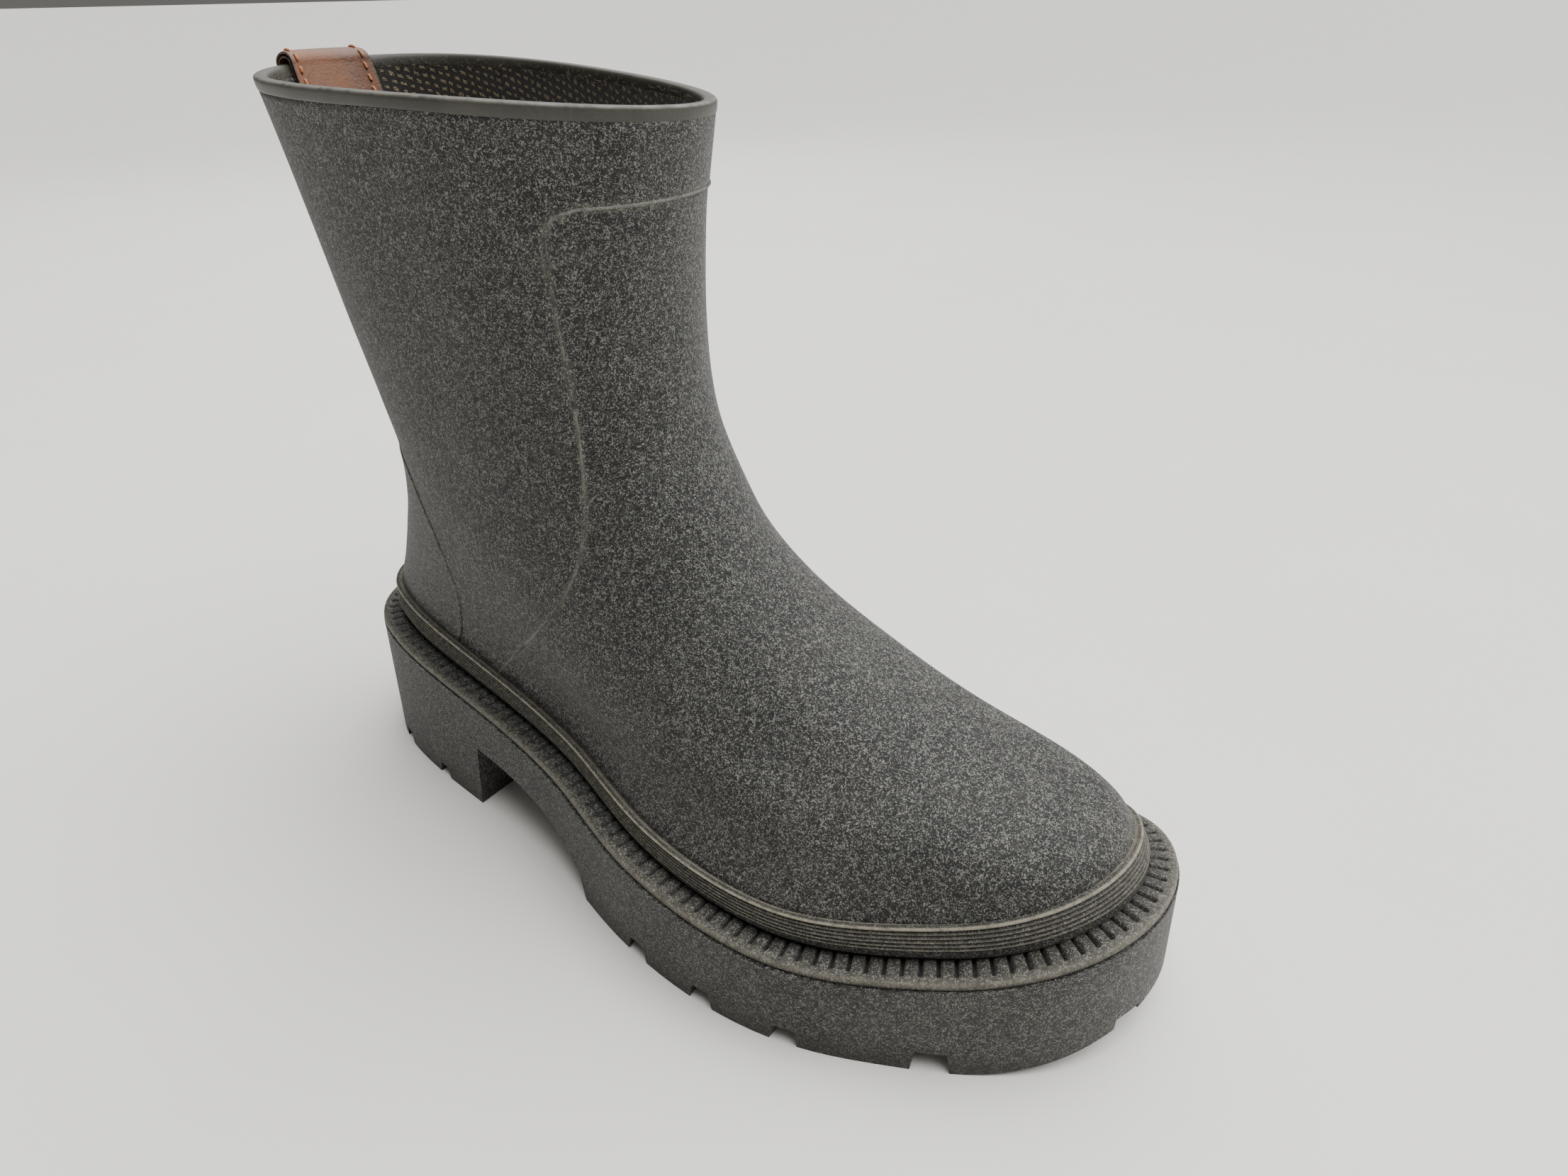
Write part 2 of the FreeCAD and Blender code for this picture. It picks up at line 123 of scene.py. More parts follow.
# Upper: a foot-shaped ring near the sole that turns into an oval leg ring by legShare as z grows
def upperPoint(angle, z):
    foot = outline(angle, np.full(np.shape(angle), boot["upperInset"]))
    share = smooth(boot["legShare"], z)
    back = smooth(boot["back"], z)
    depth = smooth(boot["front"], z) - back
    above = np.maximum(z - ledge(foot[..., 0]), 0)
    lean = np.where(np.sin(angle) < 0, smooth(boot["outerLean"], above), smooth(boot["innerLean"], above))
    footX = (foot[..., 0] - boot["upperInset"]) / (boot["length"] - 2 * boot["upperInset"])
    legX = (1 + np.cos(angle)) / 2
    legY = smooth(boot["halfWidth"], z) * np.sin(angle) * (1 + smooth(boot["fullness"], z) * np.cos(angle)**2)
    return np.stack([back + depth * ((1 - share) * footX + share * legX),
                     (1 - share) * foot[..., 1] * lean + share * legY + smooth(boot["centre"], z), z], -1)


def upperNormal(angle, z):
    around = upperPoint(angle + 0.01, z) - upperPoint(angle - 0.01, z)
    up = upperPoint(angle, z + 0.5) - upperPoint(angle, z - 0.5)
    return unit(np.cross(around, up))


# Point that lies depth inside the upper's face, square to it, at height z
def wallPoint(angle, z, depth, tries=8):
    angle, z, depth = np.broadcast_arrays(angle, z, depth)
    height = z
    for step in range(tries):
        height = 0.5 * height + 0.5 * (z + depth * upperNormal(angle, height)[..., 2])
    found = upperPoint(angle, height) - upperNormal(angle, height) * depth[..., None]
    return np.stack([found[..., 0], found[..., 1], z], -1)


# Mouth: a plane that falls towards the front, a little higher at the sides, with a slight twist
def rim(angle):
    x = (1 + np.cos(angle)) / 2 * boot["mouthLength"] + boot["rimStart"]
    level = boot["rimBack"] + boot["rimSlope"] * (x - boot["rimStart"])
    return level + boot["rimSides"] * np.sin(angle)**2 - boot["rimWave"] * np.sin(2 * angle)


# A row or a column repeated over the grid that it makes together with the other array
def spreadOver(value, other):
    return np.broadcast_to(value, np.broadcast(value, other).shape)


# From millimetres in the maker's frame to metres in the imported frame
def packed(points):
    return (points.reshape(-1, 3) - np.array(boot["origin"])) * 0.001


def addObject(name, data):
    made = bpy.data.objects.new(name, data)
    bpy.context.scene.collection.objects.link(made)
    return made


# Mesh of a grid of points in millimetres, whose rows and columns may each close on themselves
def gridMesh(name, points, around=True, along=False, uv=None, marks=None, merge=False, closed=False):
    rows, columns = points.shape[:2]
    rowCount = rows if along else rows - 1
    columnCount = columns if around else columns - 1
    i, j = np.meshgrid(np.arange(rowCount), np.arange(columnCount), indexing="ij")
    i, j = i.ravel(), j.ravel()
    nextI, nextJ = (i + 1) % rows, (j + 1) % columns
    faces = np.stack([i * columns + j, i * columns + nextJ, nextI * columns + nextJ, nextI * columns + j], 1)
    return addMesh(name, packed(points), faces, uv=uv, corners=(i, j), marks=marks, merge=merge,
                   closed=closed)


# A closed mesh is turned so that its volume is positive; a merged one has its doubles joined
def addMesh(name, placed, faces, uv=None, corners=None, marks=None, merge=False, closed=False):
    a, b, c, d = (placed[faces[:, k]] for k in range(4))
    volume = np.einsum("ij,ij->", a, np.cross(b, c)) + np.einsum("ij,ij->", a, np.cross(c, d))
    turned = closed and volume < 0
    if turned:
        faces = faces[:, ::-1]
    mesh = bpy.data.meshes.new(name)
    mesh.from_pydata(placed.tolist(), [], faces.tolist())
    for key, values in (marks or {}).items():
        mark = mesh.attributes.new(key, "FLOAT", "POINT")
        mark.data.foreach_set("value", np.ascontiguousarray(values, dtype=np.float32).ravel())
    if uv is not None:
        i, j = corners
        u, v = uv
        u = np.stack([u[i, j], u[i, j + 1], u[i + 1, j + 1], u[i + 1, j]], 1)
        v = np.stack([v[i, j], v[i, j + 1], v[i + 1, j + 1], v[i + 1, j]], 1)
        if turned:
            u, v = u[:, ::-1], v[:, ::-1]
        layer = mesh.uv_layers.new(name="cloth")
        layer.data.foreach_set("uv", np.stack([u, v], -1).astype(np.float32).ravel())
    if merge:
        work = bmesh.new()
        work.from_mesh(mesh)
        bmesh.ops.remove_doubles(work, verts=work.verts, dist=1e-6)
        bmesh.ops.recalc_face_normals(work, faces=work.faces)
        work.to_mesh(mesh)
        work.free()
    mesh.polygons.foreach_set("use_smooth", np.ones(len(mesh.polygons), bool))
    mesh.update()
    return addObject(name, mesh)


# Many short tubes: lines is (count, steps, 3), and each ring has the given radius, zero at a closed end
def tubeMesh(name, lines, radius, sides=6):
    count, steps = lines.shape[:2]
    forward = unit(np.gradient(lines, axis=1))
    guide = np.where(np.abs(forward[..., 2:3]) > 0.9, [1.0, 0.0, 0.0], [0.0, 0.0, 1.0])
    side = unit(np.cross(forward, guide))
    up = np.cross(side, forward)
    turnAt = np.arange(sides) * turn / sides
    ring = side[:, :, None] * np.cos(turnAt)[:, None] + up[:, :, None] * np.sin(turnAt)[:, None]
    points = lines[:, :, None] + ring * np.broadcast_to(radius, (count, steps))[..., None, None]
    k, i, j = np.meshgrid(np.arange(count), np.arange(steps - 1), np.arange(sides), indexing="ij")
    base, nextJ = k * steps * sides, (j + 1) % sides
    faces = np.stack([base + i * sides + j, base + i * sides + nextJ, base + (i + 1) * sides + nextJ,
                      base + (i + 1) * sides + j], -1).reshape(-1, 4)
    return addMesh(name, packed(points), faces, merge=True, closed=True)


def finishPiece(piece, material, nodes, body="boot"):
    piece.data.materials.append(material)
    if body:
        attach(piece, body)
    if nodes:
        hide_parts(*nodes)
    return piece


# Finishes. A tint is given as it shows on a screen, 0 to 255, and made linear.
def tint(red, green, blue):
    c = np.array([red, green, blue]) / 255
    linear = np.where(c <= 0.04045, c / 12.92, ((c + 0.055) / 1.055)**2.4)
    return (*linear.tolist(), 1.0)


def newMaterial(name, **settings):
    material = bpy.data.materials.new(name)
    material.use_nodes = True
    tree = material.node_tree
    surface = tree.nodes["Principled BSDF"]
    for key, value in settings.items():
        surface.inputs[key.replace("_", " ")].default_value = value
    return material, tree, surface


# Inputs of a node, each linked from a socket or set to a value
def feed(tree, node, inputs):
    for key, value in inputs:
        if isinstance(value, bpy.types.NodeSocket):
            tree.links.new(value, node.inputs[key])
        else:
            node.inputs[key].default_value = value


def add(tree, kind, inputs=None, **settings):
    node = tree.nodes.new("ShaderNode" + kind)
    for key, value in settings.items():
        setattr(node, key, value)
    feed(tree, node, (inputs or {}).items())
    return node


def objectPlace(tree, scale=(1, 1, 1), turned=(0, 0, 0)):
    place = add(tree, "TexCoord").outputs["Object"]
    return add(tree, "Mapping", {"Vector": place, "Scale": scale, "Rotation": turned}).outputs["Vector"]


def noise(tree, place, scale, detail=3.0, rough=0.55, distortion=0.0):
    return add(tree, "TexNoise", {"Vector": place, "Scale": scale, "Detail": detail, "Roughness": rough,
                                  "Distortion": distortion}).outputs["Fac"]


def span(tree, value, low, high, toLow=0.0, toHigh=1.0):
    return add(tree, "MapRange", {"Value": value, "From Min": low, "From Max": high, "To Min": toLow,
                                  "To Max": toHigh}, interpolation_type="SMOOTHSTEP").outputs["Result"]


# The colour mix node keeps its share in input 0, its colours in 6 and 7 and its result in output 2
def blendColour(tree, share, a, b):
    node = add(tree, "Mix", data_type="RGBA")
    feed(tree, node, ((0, share), (6, a), (7, b)))
    return node.outputs[2]


# Product of two values, or what another way of putting them together gives
def times(tree, a, b, way="MULTIPLY"):
    node = add(tree, "Math", operation=way)
    feed(tree, node, ((0, a), (1, b)))
    return node.outputs[0]


def mark(tree, name):
    return add(tree, "Attribute", attribute_name=name).outputs["Fac"]


def bump(tree, height, distance, strength=1.0, under=None):
    inputs = {"Height": height, "Distance": distance, "Strength": strength}
    if under is not None:
        inputs["Normal"] = under
    return add(tree, "Bump", inputs).outputs["Normal"]


def wire(tree, socket, surface, name):
    tree.links.new(socket, surface.inputs[name])


# The hollow tint is for painted shade in recesses; the worn tint is for scuffs and, on the heel counter, a
# painted highlight
rubberLook = {
    "dark": tint(18, 18, 17), "grey": tint(29, 29, 27), "fleck": tint(146, 146, 140),
    "warm": tint(86, 76, 62), "wearAndHighlight": tint(150, 144, 126), "smooth": tint(20, 20, 18),
    "hollow": tint(17, 17, 15), "fleckScale": 1180.0, "fleckShare": 0.64,
}


# Moulded rubber: dark ground with fine pale curls and slow light and warm patches, with scuffs (on the heel
# counter's edge also a painted highlight) and painted shade darkening the hollows where they are marked
def rubberMaterial(name, ground, flecks=1.0, wearAndHighlight=False, roughness=0.72, grain=0.00022):
    look = rubberLook
    material, tree, surface = newMaterial(name, Roughness=roughness, Sheen_Weight=0.1 * flecks,
                                          Sheen_Roughness=0.45, Specular_IOR_Level=0.35)
    place = objectPlace(tree)
    curl = noise(tree, place, look["fleckScale"], 2.5, 0.6, 1.6)
    fine = noise(tree, place, look["fleckScale"] * 2.3, 2.0, 0.5)
    slow = noise(tree, place, 60.0, 3.0, 0.6)
    broad = noise(tree, place, 12.0, 2.0, 0.5)
    band = times(tree, span(tree, curl, 0.47, 0.60), span(tree, fine, 0.36, 0.58))
    colour = blendColour(tree, span(tree, slow, 0.35, 0.68), ground, look["grey"])
    colour = blendColour(tree, times(tree, span(tree, broad, 0.55, 0.72), 0.12), colour, look["warm"])
    colour = blendColour(tree, times(tree, band, look["fleckShare"] * flecks), colour, look["fleck"])
    normal = bump(tree, curl, grain, 0.8 * flecks + 0.1)
    normal = bump(tree, fine, grain * 0.5, 0.7, normal)
    if wearAndHighlight:
        # Scuffs on marked edges; on the heel counter's rounded edge they also stand for a painted highlight
        scuff = noise(tree, place, 420.0, 3.0, 0.7)
        edge = times(tree, mark(tree, "wearAndHighlight"), span(tree, scuff, 0.3, 0.6, 0.45, 1.0))
        colour = blendColour(tree, edge, colour, look["wearAndHighlight"])
        # Painted shade: marked grooves, undersides and joints are darkened towards the hollow tint
        colour = blendColour(tree, times(tree, mark(tree, "hollow"), 0.85), colour, look["hollow"])
    wire(tree, colour, surface, "Base Color")
    wire(tree, normal, surface, "Normal")
    return material


# Upper. The panel and counter edges are side-view points (x, z), the panel's from the ledge up.
upper = {
    "columns": 540, "rows": 152, "innerRows": 24, "tuck": 2.3, "bandLap": 1.4,
    "recess": 0.35, "recessEdge": 1.4, "sway": 0.16,
    "beadWidth": 0.42, "beadHeight": 0.3, "beadSink": 0.08, "beadSides": 12,
    "counterProud": 0.8, "counterRound": 1.3, "counterSink": 0.25, "counterThick": 0.8, "counterScuffAndHighlight": 0.22,
}
panelEdge = [(74, 38), (86, 56), (99, 69), (114, 83.5), (124, 95), (129.8, 107), (131.3, 120), (130, 140),
             (127.8, 165), (127, 185), (127.5, 198), (129.8, 203.2), (135, 205.5)]
counterEdge = [(8, 132.5), (30, 127), (49, 119), (59, 107), (66.5, 92), (68.5, 78), (65, 64), (58, 48),
               (50, 30)]


# Points every step along the smooth curve through the given side-view points
def sideCurve(points, step):
    at = np.concatenate([[0], np.cumsum(np.hypot(*np.diff(np.array(points, float), axis=0).T))])
    along = np.linspace(0, at[-1], max(int(at[-1] / step), 8))
    x = smooth(list(zip(at, [p[0] for p in points])), along)
    z = smooth(list(zip(at, [p[1] for p in points])), along)
    return x, z


# Angle on one side (+1 inner, -1 outer) where the upper has that x at height z, by halving
def angleAt(x, z, side):
    low, high = np.zeros(len(x)), np.full(len(x), np.pi)
    for step in range(34):
        middle = (low + high) / 2
        further = upperPoint(side * middle, z)[:, 0] > x
        low, high = np.where(further, middle, low), np.where(further, high, middle)
    return side * (low + high) / 2


# Distance from each point to the nearest sample of a line
def lineDistance(points, line):
    flat = points.reshape(-1, 3)
    found = np.concatenate([np.sqrt(((part[:, None] - line[None])**2).sum(-1).min(1))
                            for part in np.array_split(flat, max(len(flat) // 3000, 1))])
    return found.reshape(points.shape[:-1])


# Outward normals of a grid, from the cross product of its two directions
def gridNormals(points):
    around = np.roll(points, -1, 1) - np.roll(points, 1, 1)
    return unit(np.cross(around, np.gradient(points, axis=0)))


def footHeight(angle):
    return ledge(outline(angle, np.full(np.shape(angle), boot["upperInset"]))[..., 0])


def panelPath():
    x, z = sideCurve(panelEdge, 1.0)
    up = angleAt(x, z, 1)
    down = angleAt(x, z, -1)
    across = np.linspace(up[-1], down[-1], 90)[1:-1]
    angle = np.concatenate([up, across, down[::-1]])
    return angle, np.concatenate([z, np.full(len(across), z[-1]), z[::-1]])


# Upper skin: rows climb from under the ledge to the band, even in length along the front. The face
# moves in by the panel's recess and by a sway of three sines; the inner rows lie the rubber's thickness in.
def makeUpper():
    angle = np.arange(upper["columns"]) * turn / upper["columns"]
    low = footHeight(angle) - upper["tuck"]
    high = rim(angle) - boot["bandHeight"] + upper["bandLap"]
    fineShare = np.linspace(0, 1, 3000)
    front = low[0] + fineShare * (high[0] - low[0])
    run = np.hypot(np.diff(front), np.diff(smooth(boot["front"], front)))
    reach = np.concatenate([[0], np.cumsum(run)])
    share = np.interp(np.linspace(0, reach[-1], upper["rows"]), reach, fineShare)[:, None]
    z = low + share * (high - low)
    points = upperPoint(np.broadcast_to(angle, z.shape), z)
    edgeX, edgeZ = sideCurve(panelEdge, 0.5)
    inside = (points[..., 0] > np.interp(z, edgeZ, edgeX)) & (z < edgeZ[-1])
    away = lineDistance(points, upperPoint(*panelPath()))
    step = 0.5 * ease(0, upper["recessEdge"], away)
    panel = np.where(inside, 0.5 + step, 0.5 - step)
    x, y = points[..., 0], points[..., 1]
    sway = np.sin(x / 9.0 + z / 14.0) + np.sin(y / 11.0 - z / 8.5 + 1.3)
    sway = (sway + np.sin(x / 23 - y / 17 + z / 31)) / 3
    points = points + gridNormals(points) * (upper["sway"] * sway - upper["recess"] * panel)[..., None]
    creases = ease(75, 100, z) * (1 - ease(140, 175, z))
    pick = np.linspace(upper["rows"] - 1, 0, upper["innerRows"]).astype(int)
    inner = (points - gridNormals(points) * boot["rubber"])[pick]
    marks = {"panel": np.concatenate([panel, panel[pick]]),
             "crease": np.concatenate([creases, creases[pick]]),
             "line": np.concatenate([1 - ease(0.2, 1.5, away), np.zeros(inner.shape[:2])])}
    return gridMesh("moulded_upper", np.concatenate([points, inner]), along=True, marks=marks, closed=True)


# Half-round bead along the panel's edge: the ring point is path + width cos t across + height sin t outward
def makeBead():
    angle, z = panelPath()
    keep = z > footHeight(angle) - 1
    angle, z = angle[keep], z[keep]
    path = upperPoint(angle, z)
    outward = upperNormal(angle, z)
    across = unit(np.cross(outward, np.gradient(path, axis=0)))
    t = np.arange(upper["beadSides"]) * turn / upper["beadSides"]
    ring = (upper["beadWidth"] * np.cos(t)[:, None] * across[:, None]
            + upper["beadHeight"] * np.sin(t)[:, None] * outward[:, None])
    grid = path[:, None] + ring - upper["beadSink"] * outward[:, None]
    ends = [np.broadcast_to(at, grid[:1].shape) for at in (path[0], path[-1])]
    return gridMesh("panel_bead", np.concatenate([ends[0], grid, ends[1]]), merge=True)


# Heel counter: columns run from the inner edge round the back to the outer one at each height. It
# stands off the leg by a quarter ellipse of the distance from its border, which sinks into the leg.
def makeCounter():
    x, z = sideCurve(counterEdge[::-1], 0.5)
    clear = x > smooth(boot["back"], z) + 0.02
    x, z = x[clear], z[clear]
    order = np.argsort(z)
    x, z = x[order], z[order]
    share = 1 - (1 - np.linspace(0, 1, 110))**2
    level = np.interp(share, np.linspace(0, 1, len(z)), z)
    edge = np.interp(level, z, x)
    inner, outer = angleAt(edge, level, 1), angleAt(edge, level, -1) + turn
    u = np.linspace(0, 1, 150)
    angle = inner[:, None] + (outer - inner)[:, None] * u
    height = np.broadcast_to(level[:, None], angle.shape)
    points = upperPoint(angle, height)
    border = np.concatenate([points[:, 0], points[:, -1], points[-1]])
    away = lineDistance(points, border)
    near = np.clip(away / upper["counterRound"], 0, 1)
    rise = upper["counterProud"] * np.sqrt(near) * np.sqrt(2 - near)
    points = points + upperNormal(angle, height) * (rise - upper["counterSink"])[..., None]
    # Pale strip on the counter's rounded edge: scuff and painted highlight; dark border where it meets the
    # leg: painted shade
    marks = {"wearAndHighlight": upper["counterScuffAndHighlight"] * ease(0.15, 0.7, away) * (1 - ease(1.0, 2.2, away)),
             "hollow": 1 - ease(0.0, 0.8, away)}
    piece = gridMesh("heel_counter_shell", points, around=False, marks=marks)
    solid = piece.modifiers.new("thickness", "SOLIDIFY")
    solid.thickness = upper["counterThick"] * 0.001
    solid.offset = -1
    return piece


def upperMaterial():
    look = rubberLook
    material = rubberMaterial("speckledRubber", look["dark"], 1.0)
    tree = material.node_tree
    surface = tree.nodes["Principled BSDF"]
    colour = surface.inputs["Base Color"].links[0].from_socket
    normal = surface.inputs["Normal"].links[0].from_socket
    # fine upright creases over the ankle, with painted shade darkening them, and level ones over the panel
    upright = noise(tree, objectPlace(tree, (620, 620, 95), (0.3, 0.2, 0.0)), 1.0, 3.0, 0.65, 0.5)
    level = noise(tree, objectPlace(tree, (120, 420, 900)), 1.0, 3.0, 0.6, 0.5)
    crease = times(tree, span(tree, upright, 0.5, 0.7), mark(tree, "crease"))
    colour = blendColour(tree, times(tree, crease, 0.4), colour, look["dark"])
    normal = bump(tree, times(tree, upright, mark(tree, "crease")), 0.0006, 0.8, normal)
    normal = bump(tree, times(tree, level, mark(tree, "panel")), 0.0005, 0.5, normal)
    line = times(tree, mark(tree, "line"), span(tree, upright, 0.35, 0.6, 0.05, 0.3))
    colour = blendColour(tree, line, colour, look["wearAndHighlight"])
    wire(tree, colour, surface, "Base Color")
    wire(tree, normal, surface, "Normal")
    return material


speckled = upperMaterial()
finishPiece(makeUpper(), speckled, ["leg_panel", "instep_panel"])
beadRubber = rubberMaterial("wornBead", tint(96, 95, 89), 0.9)
finishPiece(makeBead(), beadRubber, [])
counterRubber = rubberMaterial("counterRubber", rubberLook["smooth"], 0.95, wearAndHighlight=True)
finishPiece(makeCounter(), counterRubber, ["heel_counter"])
print("upper done")

# Band round the mouth
band = {"columns": 540, "sides": 36, "outer": -0.22, "inner": 3.85, "height": 4.4, "squareness": 0.6}


# Rounded box section: depth and height are signed powers of cos t and sin t
def makeBand():
    angle = (np.arange(band["columns"]) * turn / band["columns"])[None]
    t = (np.arange(band["sides"]) * turn / band["sides"])[:, None]
    across = signedPower(np.cos(t), band["squareness"])
    up = signedPower(np.sin(t), band["squareness"])
    half = (band["inner"] - band["outer"]) / 2
    depth = band["outer"] + half - half * across
    z = rim(angle) + band["height"] / 2 * (up - 1)
    marks = {"wearAndHighlight": spreadOver(ease(0.3, 0.75, across) * ease(0.55, 0.95, up), angle),
             "hollow": spreadOver(ease(0.4, 0.95, -up) * ease(-0.5, 0.5, across), angle)}
    return gridMesh("mouth_band", wallPoint(angle, z, depth), along=True, marks=marks, closed=True)


def bandMaterial():
    material, tree, surface = newMaterial("smoothBand", Roughness=0.5, Specular_IOR_Level=0.45)
    place = objectPlace(tree)
    slow = noise(tree, place, 45.0, 3.0, 0.6)
    fine = noise(tree, place, 1300.0, 3.0, 0.6, 0.8)
    colour = blendColour(tree, span(tree, slow, 0.3, 0.7), tint(46, 46, 39), tint(60, 59, 51))
    colour = blendColour(tree, times(tree, span(tree, fine, 0.5, 0.66), 0.3), colour, tint(72, 70, 62))
    colour = blendColour(tree, times(tree, mark(tree, "hollow"), 0.5), colour, tint(60, 58, 52))
    edge = times(tree, mark(tree, "wearAndHighlight"), span(tree, noise(tree, place, 260.0), 0.35, 0.6, 0.2, 0.7))
    colour = blendColour(tree, edge, colour, tint(128, 127, 118))
    wire(tree, colour, surface, "Base Color")
    wire(tree, bump(tree, fine, 0.00008, 0.7), surface, "Normal")
    return material


finishPiece(makeBand(), bandMaterial(), ["top_band"])
print("band done")

# Foxing. Each closing row behind the lip is (further in, down, scuff, painted shade).
foxing = {
    "columns": 720, "rows": 70, "inset": 8.0, "toeLean": 0.38, "tallest": 14.0, "hidden": 4.0,
    "height": [(0, 13), (100, 9.5), (190, 8.5), (240, 10), (300, 12)],
    "ribs": 5, "ribStart": 0.36, "ribEnd": 0.86, "lipStart": 0.88,
    "ribHeight": 0.5, "lip": 0.8, "foot": 2.0, "bulge": 0.9,
    "closing": [(0.8, 0.35, 0.5, 0.1), (2.2, 1.1, 0.0, 0.7), (4.5, 1.6, 0.0, 1.0)],
}


# Section up the face: foot groove, plain wall, ribs as cosines, groove, round lip, then back to the upper
def makeFoxing():
    angle = (np.arange(foxing["columns"]) * turn / foxing["columns"])[None]
    base = outline(angle, np.full(angle.shape, foxing["inset"]))[..., 0]
    tall = smooth(foxing["height"], np.clip(base, 0, boot["length"]))
    t = np.linspace(0, 1, foxing["rows"])[:, None]
    start, end, lipStart = foxing["ribStart"], foxing["ribEnd"], foxing["lipStart"]
    inRibs = ease(start - 0.02, start + 0.02, t) * (1 - ease(end - 0.02, end + 0.02, t))
    wave = 0.5 - 0.5 * np.cos(turn * foxing["ribs"] * (t - start) / (end - start))
    lipAt = np.clip((t - lipStart) / (1 - lipStart), 0, 1)
    proud = foxing["ribHeight"] * wave * inRibs + foxing["lip"] * np.sin(np.pi * lipAt)**0.6 * (lipAt > 0)
    proud = proud + foxing["bulge"] * np.sin(np.pi * t**0.8) - foxing["foot"] * np.clip(1 - t / 0.2, 0, 1)**2
    above = t * tall
    lean = foxing["toeLean"] * (base / boot["length"])**2 * np.minimum(above, foxing["tallest"])
    inset = foxing["inset"] + lean - proud
    further, down, closingWorn, closingShade = np.array(foxing["closing"]).T[:, :, None]
    inset = np.concatenate([inset[:1] + foxing["hidden"], inset, inset[-1:] + further])
    above = np.concatenate([above[:1], above, above[-1:] - down])
    flat = outline(spreadOver(angle, inset), inset)
    grid = np.concatenate([flat, (ledge(base) + above)[..., None]], -1)
    wearAndHighlight = 0.8 * ease(0.25, 0.75, np.sin(np.pi * lipAt)) * (lipAt > 0) + 0.32 * inRibs * ease(0.6, 1, wave)
    # Painted shade at the foot of the band, in the rib troughs and behind the lip
    hollow = 0.9 * (1 - ease(0.0, 0.3, t)) + inRibs * (1 - ease(0.0, 0.4, wave)) * 0.75
    marks = {"wearAndHighlight": spreadOver(np.concatenate([[[0.0]], wearAndHighlight, closingWorn]), angle),
             "hollow": spreadOver(np.concatenate([[[1.0]], hollow, closingShade]), angle)}
    return gridMesh("ribbed_foxing", grid, along=True, marks=marks, closed=True)


foxingRubber = rubberMaterial("ribbedRubber", tint(21, 21, 19), 0.6, wearAndHighlight=True)
finishPiece(makeFoxing(), foxingRubber, ["foxing_band"])

# Serrated welt. Each point of the section is (inset, height, share of the groove's depth, scuff, painted
# shade).
welt = {
    "blocks": 146, "inset": 0.4, "grooveDepth": 1.7, "grooveEdge": (0.09, 0.17),
    "phases": (0.0, 0.1, 0.16, 0.3, 0.5, 0.7, 0.84, 0.9),
    "section": [
        (12.0, -0.8, 0, 0, 1), (10.5, -0.8, 0.6, 0, 1), (9.5, -0.5, 1, 0, 0.9), (8.5, -0.2, 1, 0, 0.6),
        (6.0, 0.0, 1, 0, 0.15), (3.7, 0.0, 0.95, 0.02, 0.1), (3.2, 0.05, 0.35, 0.06, 0),
        (2.6, 0.1, 0, 0.08, 0), (1.3, 0.05, 0, 0.1, 0), (0.6, -0.25, 0, 0.35, 0), (0.35, -0.8, 0, 0.3, 0),
        (0.3, -1.6, 0, 0.1, 0), (0.5, -2.3, 0, 0.1, 0.5), (1.5, -2.6, 0, 0, 1), (6.0, -2.5, 0, 0, 1),
        (12.0, -2.5, 0, 0, 1),
    ],
}


# Angles that stand evenly along the outline's length
def evenAngles(shares):
    fine = np.linspace(0, turn, 6001)
    line = outline(fine, np.full(fine.shape, welt["inset"]))
    along = np.concatenate([[0], np.cumsum(np.linalg.norm(np.diff(line, axis=0), axis=1))])
    return np.interp(shares * along[-1], along, fine)


# Section: top face outwards, round edge, down, back under. Each block meets the next in a V groove.
def makeWelt():
    phases = np.array(welt["phases"])
    angle = evenAngles((np.arange(welt["blocks"])[:, None] + phases).ravel() / welt["blocks"])[None]
    gap = np.tile(np.minimum(phases, 1 - phases), welt["blocks"])[None]
    groove = 1 - ease(*welt["grooveEdge"], gap)
    inset, height, depth, edge, shade = np.array(welt["section"]).T[:, :, None]
    base = outline(angle, np.full(angle.shape, welt["inset"]))[..., 0]
    flat = outline(spreadOver(angle, inset), inset)
    z = ledge(base) + height - groove * depth * welt["grooveDepth"]
    grid = np.concatenate([flat, z[..., None]], -1)
    # Scuffs on the outer margin; painted shade in the grooves, next to the foxing and underneath
    marks = {"wearAndHighlight": edge * (1 - 0.85 * groove * (depth > 0.6)),
             "hollow": np.maximum(groove * (depth > 0.2), shade)}
    return gridMesh("serrated_ledge", grid, along=True, marks=marks, closed=True)


weltRubber = rubberMaterial("weltRubber", tint(25, 25, 21), 0.85, wearAndHighlight=True, roughness=0.62)
finishPiece(makeWelt(), weltRubber, ["serrated_welt"])
print("foxing and welt done")

# Lining
lining = {
    "columns": 360, "rows": 130, "outerRows": 60, "rowGrowth": 1.15, "top": 2.2, "floor": 3.0, "behind": 0.7,
    "fibres": 1500, "fibreFrom": (1.6, 4.2), "fibreReach": (0.7, 2.1),
    "fibreRadius": (0.05, 0.06, 0.055, 0.045, 0.0),
}


